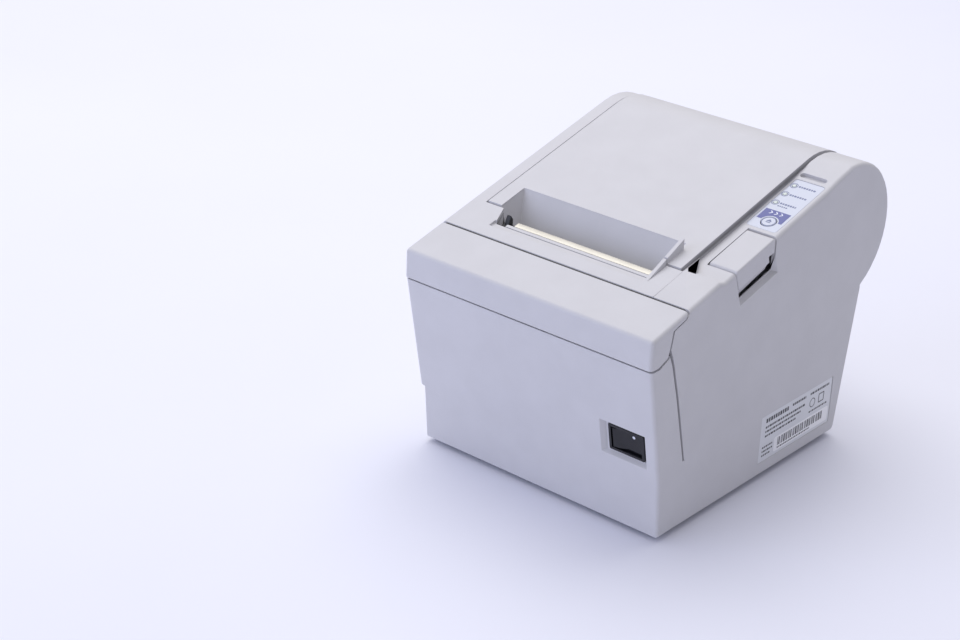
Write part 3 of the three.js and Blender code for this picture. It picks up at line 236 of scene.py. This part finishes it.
def make_materials():
    return {
        "case_plastic": textured("case_plastic_look", (0.60, 0.595, 0.615), 0.55, 0.05, 0.03 * MM, 2600),
        "inner_plastic": textured("inner_plastic_look", (0.50, 0.50, 0.53), 0.45, 0.04, 0.01 * MM, 1600),
        "dark_plastic": textured("dark_plastic_look", (0.017, 0.017, 0.019), 0.5, 0.08, 0.02 * MM, 2200, 0.1),
        "gloss_black": textured("gloss_black_look", (0.006, 0.006, 0.009), 0.16, 0.03, 0.003 * MM, 700, 0.1),
        "rubber": textured("rubber_look", (0.012, 0.012, 0.013), 0.85, 0.06, 0.04 * MM, 1800, 0.15),
        "roller_rubber": textured(
            "roller_rubber_look", (0.045, 0.042, 0.04), 0.7, 0.08, 0.02 * MM, 1500, 0.1, 0.0, (0.2, 1, 1)
        ),
        "zinc_steel": textured("zinc_steel_look", (0.55, 0.56, 0.58), 0.34, 0.08, 0.008 * MM, 500, 0.06, 1.0),
        "bright_steel": textured(
            "bright_steel_look", (0.93, 0.90, 0.80), 0.3, 0.06, 0.006 * MM, 900, 0.04, 1.0, (3, 0.2, 0.2)
        ),
        "aluminium": textured(
            "aluminium_look", (0.66, 0.67, 0.69), 0.36, 0.07, 0.01 * MM, 800, 0.04, 1.0, (0.2, 1, 2)
        ),
        "brass": textured("brass_look", (0.60, 0.43, 0.17), 0.3, 0.06, 0.006 * MM, 900, 0.06, 1.0, (4, 1, 1)),
        "gear_plastic": textured("gear_plastic_look", (0.78, 0.75, 0.65), 0.45, 0.05, 0.01 * MM, 1400),
        "board": textured("board_look", (0.012, 0.09, 0.035), 0.35, 0.06, 0.01 * MM, 1200, 0.15),
        "decal": textured("decal_look", (0.60, 0.63, 0.72), 0.35, 0.03, 0.006 * MM, 1500, 0.01),
        "label": textured("label_look", (0.72, 0.73, 0.76), 0.4, 0.04, 0.006 * MM, 900, 0.015),
        "lamp": textured("lamp_look", (0.62, 0.68, 0.64), 0.2, 0.03, 0.004 * MM, 900, 0.03),
        "decal_blue": textured("decal_blue_look", (0.085, 0.10, 0.32), 0.35, 0.03, 0.006 * MM, 1500, 0.04),
        "ink_blue": textured("ink_blue_look", (0.16, 0.19, 0.33), 0.4, 0.03, 0.004 * MM, 1500, 0.05),
        "ink_pale": textured("ink_pale_look", (0.78, 0.80, 0.88), 0.4, 0.03, 0.004 * MM, 1500, 0.02),
        "ink_dark": textured("ink_dark_look", (0.05, 0.05, 0.055), 0.45, 0.04, 0.004 * MM, 1500, 0.08),
        "label_white": textured("label_white_look", (0.90, 0.90, 0.92), 0.35, 0.03, 0.005 * MM, 1100, 0.01),
        "tear_steel": textured(
            "tear_steel_look", (0.70, 0.67, 0.58), 0.38, 0.05, 0.006 * MM, 900, 0.03, 0.35, (3, 0.2, 0.2)
        ),
    }


def node_slots():
    return {part["node"]: part["material_slot"] for part in frame["record"]["subparts"]}


def dress_frame(materials):
    """Gives every CAD node its finish; all its faces share one slot."""
    for name, slot in node_slots().items():
        data = NODES[name].data
        data.materials.clear()
        data.materials.append(materials[slot])
        for polygon in data.polygons:
            polygon.material_index = 0


# ---- softened edges -------------------------------------------------------------------------
def weld_group():
    """Joins the split corners of an imported mesh and drops its stored normals."""
    group = bpy.data.node_groups.new("weld_corners", "GeometryNodeTree")
    group.interface.new_socket("Mesh", in_out="INPUT", socket_type="NodeSocketGeometry")
    group.interface.new_socket("Mesh", in_out="OUTPUT", socket_type="NodeSocketGeometry")
    source = group.nodes.new("NodeGroupInput")
    target = group.nodes.new("NodeGroupOutput")
    drop = group.nodes.new("GeometryNodeRemoveAttribute")
    drop.inputs["Name"].default_value = "custom_normal"
    weld = group.nodes.new("GeometryNodeMergeByDistance")
    weld.inputs["Distance"].default_value = WELD_DISTANCE
    group.links.new(source.outputs[0], drop.inputs["Geometry"])
    group.links.new(drop.outputs["Geometry"], weld.inputs["Geometry"])
    group.links.new(weld.outputs["Geometry"], target.inputs[0])
    return group


def shade_group(angle):
    """Smooth faces, with every edge sharper than the angle kept sharp."""
    group = bpy.data.node_groups.new("shade_by_angle", "GeometryNodeTree")
    group.interface.new_socket("Mesh", in_out="INPUT", socket_type="NodeSocketGeometry")
    group.interface.new_socket("Mesh", in_out="OUTPUT", socket_type="NodeSocketGeometry")
    source = group.nodes.new("NodeGroupInput")
    target = group.nodes.new("NodeGroupOutput")
    faces = group.nodes.new("GeometryNodeSetShadeSmooth")
    faces.domain = "FACE"
    edges = group.nodes.new("GeometryNodeSetShadeSmooth")
    edges.domain = "EDGE"
    edge_angle = group.nodes.new("GeometryNodeInputMeshEdgeAngle")
    compare = group.nodes.new("FunctionNodeCompare")
    compare.data_type = "FLOAT"
    compare.operation = "LESS_EQUAL"
    compare.inputs["B"].default_value = angle
    group.links.new(source.outputs[0], faces.inputs["Geometry"])
    group.links.new(faces.outputs["Geometry"], edges.inputs["Geometry"])
    group.links.new(edge_angle.outputs["Unsigned Angle"], compare.inputs["A"])
    group.links.new(compare.outputs["Result"], edges.inputs["Shade Smooth"])
    group.links.new(edges.outputs["Geometry"], target.inputs[0])
    return group


SHADE = shade_group(SHADE_FROM)
WELD = weld_group()


def shade(piece):
    modifier = piece.modifiers.new("shade", "NODES")
    modifier.node_group = SHADE


def soften(piece, width, is_cad=False):
    """Rounds the edges of a piece by a small width, without touching its own vertices."""
    if is_cad:
        piece.modifiers.new("weld", "NODES").node_group = WELD
    flat = piece.modifiers.new("flat_faces", "DECIMATE")
    flat.decimate_type = "DISSOLVE"
    flat.angle_limit = FLAT_WITHIN
    bevel = piece.modifiers.new("soft_edges", "BEVEL")
    bevel.width = width
    bevel.segments = 2
    bevel.limit_method = "ANGLE"
    bevel.angle_limit = BEVEL_FROM
    bevel.use_clamp_overlap = False
    bevel.miter_outer = "MITER_ARC"
    shade(piece)
    normals = piece.modifiers.new("normals", "WEIGHTED_NORMAL")
    normals.keep_sharp = True


def soften_frame():
    for name in node_slots():
        soften(NODES[name], (CASING_EDGE if name in CASING else PART_EDGE) * MM, is_cad=True)


# ---- fine pieces ----------------------------------------------------------------------------
def circle(u, v, radius, sides=32, start=0.0, turn=360.0):
    """Points on an arc, from the start angle, through a turn in degrees."""
    closed = abs(turn) >= 360
    steps = sides if closed else sides + 1
    angles = [math.radians(start + turn * i / sides) for i in range(steps)]
    return [(u + radius * math.cos(a), v + radius * math.sin(a)) for a in angles]


def rounded_box(u0, u1, v0, v1, radius, steps=4):
    corners = [(u1 - radius, v0 + radius, -90), (u1 - radius, v1 - radius, 0)]
    corners += [(u0 + radius, v1 - radius, 90), (u0 + radius, v0 + radius, 180)]
    return [point for u, v, start in corners for point in circle(u, v, radius, steps, start, 90)]


def piece_from(name, mesh_data, look, body):
    """Turns a bmesh in mm into a piece that rides a body."""
    mesh = bpy.data.meshes.new(name)
    bmesh.ops.recalc_face_normals(mesh_data, faces=mesh_data.faces)
    bmesh.ops.scale(mesh_data, vec=(MM, MM, MM), verts=mesh_data.verts)
    mesh_data.to_mesh(mesh)
    mesh_data.free()
    piece = bpy.data.objects.new(name, mesh)
    bpy.context.scene.collection.objects.link(piece)
    mesh.materials.append(MATERIALS[look])
    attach(piece, body)
    return piece


def add_prism(mesh_data, outline, place, low, high, holes=()):
    """Adds a flat shape between two heights over a surface; place turns (u, v, height) into a point in mm."""
    edges = []
    for loop in (outline, *holes):
        verts = [mesh_data.verts.new(place(u, v, high)) for u, v in loop]
        edges += [mesh_data.edges.new((verts[i - 1], verts[i])) for i in range(len(verts))]
    filled = bmesh.ops.triangle_fill(mesh_data, use_beauty=True, use_dissolve=False, edges=edges)
    faces = [item for item in filled["geom"] if isinstance(item, bmesh.types.BMFace)]
    grown = bmesh.ops.extrude_face_region(mesh_data, geom=faces, use_keep_orig=True)
    down = Vector(place(0, 0, low)) - Vector(place(0, 0, high))
    lowered = [item for item in grown["geom"] if isinstance(item, bmesh.types.BMVert)]
    bmesh.ops.translate(mesh_data, vec=down, verts=lowered)


def flat_piece(name, shapes, place, low, high, look, slot_name, body, edge=0.0):
    """One piece of flat shapes; each shape is an outline, or an outline and a list of holes."""
    mesh_data = bmesh.new()
    for shape in shapes:
        outline, holes = shape if isinstance(shape, tuple) else (shape, ())
        add_prism(mesh_data, outline, place, low, high, holes)
    piece = piece_from(name, mesh_data, look, body)
    if edge:
        soften(piece, edge * MM)
    else:
        shade(piece)
    return piece


def on_panel(x, y, height):
    tilt = math.atan(PANEL_SLOPE)
    z = PANEL_FRONT[1] + PANEL_SLOPE * (y - PANEL_FRONT[0])
    return (x, y - height * math.sin(tilt), z + height * math.cos(tilt))


def on_right_side(y, z, height):
    return (HALF_WIDTH + height, y, z)


def on_rear(x, z, height):
    return (x, SOCKET_FACE_Y + height, z)


def under_base(x, y, height):
    return (x, y, height)


def dashes(u0, u1, v, height, lengths, gap=0.5):
    """A row of short bars, the generic stand-in for a line of text."""
    row, u, i = [], u0, 0
    while u < u1:
        end = min(u + lengths[i % len(lengths)], u1)
        if end - u > 0.3:
            row.append(rounded_box(u, end, v - height / 2, v + height / 2, min(0.14, height / 3), 2))
        u, i = end + gap, i + 1
    return row


def chevron(u, v):
    return [
        (u - 0.9, v - 1.1), (u - 0.2, v - 1.1), (u + 0.9, v),
        (u - 0.2, v + 1.1), (u - 0.9, v + 1.1), (u + 0.2, v),
    ]


def make_panel():
    x, y, radius = BUTTON
    width, length = PLATE_SIZE
    slope_length = length * math.cos(math.atan(PANEL_SLOPE))
    sheet = rounded_box(
        PLATE_MIDDLE[0] - width / 2, PLATE_MIDDLE[0] + width / 2,
        PLATE_MIDDLE[1] - slope_length / 2, PLATE_MIDDLE[1] + slope_length / 2, 1.3,
    )
    holes = [circle(x, y, radius + 0.35)] + [circle(u, v, 1.25, 20) for u, v in LAMPS]
    plate = flat_piece("panel_sheet", [(sheet, holes)], on_panel, -0.8, -0.1, "decal", "decal", "root", 0.1)
    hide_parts("control_panel")
    reach = radius + 1.0
    side = math.degrees(math.asin(0.6 / reach))
    patch = [(54.6, 12.1), (54.6, 3.9)] + circle(x, y, reach, 24, 180 - side, -180 + 2 * side)
    patch += [(68.2, 3.9), (68.2, 12.1)]
    flat_piece("feed_patch", [patch], on_panel, *PRINT_ON_PANEL, "decal_blue", "decal", "root")
    chevrons = [chevron(61.2 + shift, 10.1) for shift in (-2.6, 0.2, 3.0)]
    flat_piece("feed_chevrons", chevrons, on_panel, -0.05, -0.01, "ink_pale", "decal", "root")
    marks = []
    for row, (u, v) in enumerate(LAMPS):
        marks.append((circle(u, v, 1.95, 24), [circle(u, v, 1.65, 24)]))
        marks += dashes(58.0, 67.4 - row * 0.4, v + 0.3, 1.15, [1.0, 0.8, 1.1, 0.9], 0.4)
    marks += dashes(58.0, 63.5, LAMPS[2][1] - 1.9, 0.8, [0.8, 0.6], 0.4)
    flat_piece("panel_marks", marks, on_panel, *PRINT_ON_PANEL, "ink_blue", "decal", "root")
    ring = (circle(x, y, radius - 0.15), [circle(x, y, radius - 0.5)])
    arrow = [(x - 1.2, y - 0.9), (x + 1.2, y - 0.9), (x + 1.2, y - 0.4), (x - 1.2, y - 0.4)]
    head = [(x - 1.5, y + 0.1), (x + 1.5, y + 0.1), (x, y + 1.7)]
    flat_piece("button_marks", [ring, arrow, head], on_panel, 0.0, 0.05, "ink_blue", "decal", "feed_button")


def make_label():
    sheet = rounded_box(LABEL_Y[0], LABEL_Y[1], LABEL_Z[0], LABEL_Z[1], 0.8)
    plate = flat_piece("label_sheet", [sheet], on_right_side, -0.55, -0.2, "label", "label", "root", 0.08)
    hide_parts("rating_label")
    sticker = rounded_box(12.0, 60.2, 11.4, 19.4, 1.2)
    flat_piece("label_sticker", [sticker], on_right_side, -0.21, -0.14, "label_white", "label", "root")
    bars, y = [], 15.0
    widths = [0.5, 0.9, 0.4, 0.6, 1.1, 0.4, 0.8, 0.5]
    low, high = 14.0, 18.4
    i = 0
    while y < 55.0:
        width, gap = widths[i % len(widths)], widths[(i + 3) % len(widths)]
        bars.append([(y, low), (y + width, low), (y + width, high), (y, high)])
        y += width + gap
        i += 1
    bars += dashes(15.0, 44.0, 12.8, 0.8, [0.9, 0.7, 1.2])
    flat_piece("label_bars", bars, on_right_side, -0.15, -0.11, "ink_dark", "label", "root")
    marks = dashes(3.0, 23.0, 31.6, 2.2, [1.5, 1.3, 1.6, 1.2], 0.6)
    marks += dashes(26.0, 38.0, 32.0, 1.3, [1.2, 0.9, 1.4])
    marks += dashes(3.0, 38.0, 28.0, 1.1, [1.4, 0.8, 2.0, 1.1])
    marks += dashes(3.0, 34.0, 25.6, 1.0, [0.9, 1.7, 1.2])
    marks += dashes(3.0, 30.0, 23.2, 1.0, [1.6, 0.7, 1.1, 2.1])
    marks += dashes(1.5, 10.5, 17.4, 0.9, [1.3, 0.8])
    marks += dashes(1.5, 10.5, 15.2, 0.9, [0.8, 1.5])
    marks += dashes(1.5, 9.0, 13.0, 0.9, [1.1, 0.9])
    marks.append((circle(44.5, 26.6, 2.5, 24), [circle(44.5, 26.6, 2.1, 24)]))
    marks.append((rounded_box(50.0, 55.0, 24.4, 29.4, 0.5), [rounded_box(50.5, 54.5, 24.9, 28.9, 0.3)]))
    marks += dashes(42.0, 59.0, 32.0, 1.2, [1.0, 1.6, 0.8])
    marks += dashes(42.0, 59.0, 22.0, 0.9, [1.3, 0.7])
    flat_piece("label_marks", marks, on_right_side, *PRINT_ON_LABEL, "ink_dark", "label", "root")


def make_tear_bar():
    """A bar whose rear edge is cut into fine teeth."""
    pitch = 1.4
    x0, x1 = TEAR_BAR_X
    count = int((x1 - x0) / pitch)
    mesh_data = bmesh.new()
    rows = []
    for i in range(2 * count + 1):
        x = x0 + (x1 - x0) * i / (2 * count)
        tip = 0.45 * (i % 2)
        profile = [
            (-56.9, 115.0), (-53.9 - tip, 115.05), (-53.1 - tip, 116.9), (-53.9 - tip, 117.1), (-56.9, 116.3)
        ]
        rows.append([mesh_data.verts.new((x, y, z)) for y, z in profile])
    for near, far in zip(rows, rows[1:]):
        for k in range(5):
            mesh_data.faces.new((near[k - 1], near[k], far[k], far[k - 1]))
    mesh_data.faces.new(rows[0])
    mesh_data.faces.new(rows[-1][::-1])
    bar = piece_from("serrated_tear_bar", mesh_data, "tear_steel", "root")
    shade(bar)
    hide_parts("tear_bar")


def deck_z(y):
    return DECK_POINT[1] + DECK_SLOPE * (y - DECK_POINT[0])


def make_exit_lip():
    """The case plastic that runs down to the tear bar."""
    lip = rounded_box(TEAR_BAR_X[0] - 4.0, TEAR_BAR_X[1], -58.9, -57.1, 0.4)
    flat_piece("exit_lip", [lip], on_deck, -2.4, -1.6, "case_plastic", "case_plastic", "root", 0.15)


def on_deck(x, y, height):
    return (x, y, deck_z(y) + height)


def make_seam_shade_strips():
    """Dark strips that paint the shade in the seam on top and in the gap beside the paper cover."""
    # painted shade: dark plastic sheets set just under the open seams, where there is only shade
    across = rounded_box(-69.8, 69.8, -72.3, -71.3, 0.2, 2)
    flat_piece("top_seam_painted_shade", [across], on_deck, -0.8, -0.4, "dark_plastic", "dark_plastic", "root")
    along = rounded_box(50.95, 52.1, -47.5, 44.0, 0.2, 2)
    flat_piece("cover_gap_painted_shade", [along], on_deck, -3.6, -2.9, "dark_plastic", "dark_plastic", "root")


def make_gap_corner():
    """A filler just under the surface, beside the paper cover's front corner."""
    corner = rounded_box(52.3, 55.2, -49.2, -43.5, 0.5)
    flat_piece("gap_corner", [corner], on_panel, -1.6, -0.05, "case_plastic", "case_plastic", "root", 0.15)


def on_rocker(u, v, height):
    """A point over the right half of the rocker's face."""
    x, z = SWITCH_PLACE
    y = FRONT_CREASE[0] - math.tan(FRONT_LEAN) * (z - FRONT_CREASE[1])
    out = -3.0 - 0.9 * u / 8.05 - height
    place = Matrix.Translation((x, y, z)) @ Matrix.Rotation(FRONT_LEAN, 4, "X")
    place = place @ Matrix.Translation((0, ROCKER_DEPTH, 0)) @ Matrix.Rotation(ROCKER_TILT, 4, "Z")
    return tuple(place @ Vector((u, out, v)))


def make_switch_marks():
    dot = circle(3.2, 3.3, 0.75, 20)
    flat_piece("rocker_dot", [dot], on_rocker, -0.02, 0.05, "ink_pale", "lamp", "power_rocker")


def cross_recess(x, y):
    arms = [
        (x - 1.7, y - 0.4), (x - 0.4, y - 0.4), (x - 0.4, y - 1.7),
        (x + 0.4, y - 1.7), (x + 0.4, y - 0.4), (x + 1.7, y - 0.4),
    ]
    return arms + [(2 * x - u, 2 * y - v) for u, v in arms]


def middle_of(node):
    """Middle of a node's box in plan, in mm."""
    low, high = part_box(node)
    return (low.x + high.x) / 2 / MM, (low.y + high.y) / 2 / MM


def make_base_details():
    for i in range(1, 5):
        x, y = middle_of(f"base_screw_{i}")
        head = (circle(x, y, 2.9), [cross_recess(x, y)])
        flat_piece(f"screw_head_{i}", [head], under_base, 2.4, 2.98, "zinc_steel", "zinc_steel", "root", 0.15)
    for name in ("front_left", "front_right", "rear_left", "rear_right"):
        x, y = middle_of("foot_" + name)
        grip = (circle(x, y, 7.6, 40), [circle(x, y, 7.05, 40)])
        flat_piece("foot_ring_" + name, [grip], under_base, 1.6, 2.6, "rubber", "rubber", "root", 0.15)


def make_socket_details():
    x, z = DATA_SOCKET
    pitch = 2.76
    pins = [circle(x + pitch * (k - 6), z + 1.4, 0.5, 10) for k in range(13)]
    pins += [circle(x + pitch * (k - 5.5), z - 1.4, 0.5, 10) for k in range(12)]
    flat_piece("data_contacts", pins, on_rear, -2.95, -2.4, "brass", "brass", "root")
    posts = [(circle(u, z, 2.9, 6, 30), [circle(u, z, 1.2, 16)]) for u in (x - 27.0, x + 27.0)]
    flat_piece("jack_posts", posts, on_rear, -6.9, -1.0, "zinc_steel", "zinc_steel", "root", 0.12)
    x, z = DRAWER_SOCKET
    low, high = z - 2.0, z + 3.6
    wires = [
        [(x + u, low), (x + u + 0.5, low), (x + u + 0.5, high), (x + u, high)]
        for u in (-3.2, -2.0, -0.8, 0.4, 1.6, 2.8)
    ]
    flat_piece("drawer_contacts", wires, on_rear, -9.0, -8.4, "brass", "brass", "root")


def make_cover_ribs():
    """Stiffening ribs under the paper cover, seen when it is open."""
    section = ((-0.6, 0), (0.6, 0), (0.45, -1.5), (-0.45, -1.5))
    for k, x in enumerate((-44.0, -6.0, 32.0)):
        mesh_data = bmesh.new()
        rows = []
        for i in range(13):
            y = -24.0 + i * 6.0
            z = deck_z(y) - 2.05
            rows.append([mesh_data.verts.new((x + dx, y, z + dz)) for dx, dz in section])
        for near, far in zip(rows, rows[1:]):
            for j in range(4):
                mesh_data.faces.new((near[j - 1], near[j], far[j], far[j - 1]))
        mesh_data.faces.new(rows[0])
        mesh_data.faces.new(rows[-1][::-1])
        rib = piece_from(f"cover_rib_{k + 1}", mesh_data, "case_plastic", "paper_cover")
        soften(rib, 0.15 * MM)


MATERIALS = make_materials()
make_camera()
make_light()
make_floor()
dress_frame(MATERIALS)
soften_frame()
make_panel()
make_label()
make_tear_bar()
make_exit_lip()
# painted shade: dark strips inside the open seams
make_seam_shade_strips()
make_gap_corner()
make_switch_marks()
make_base_details()
make_socket_details()
make_cover_ribs()
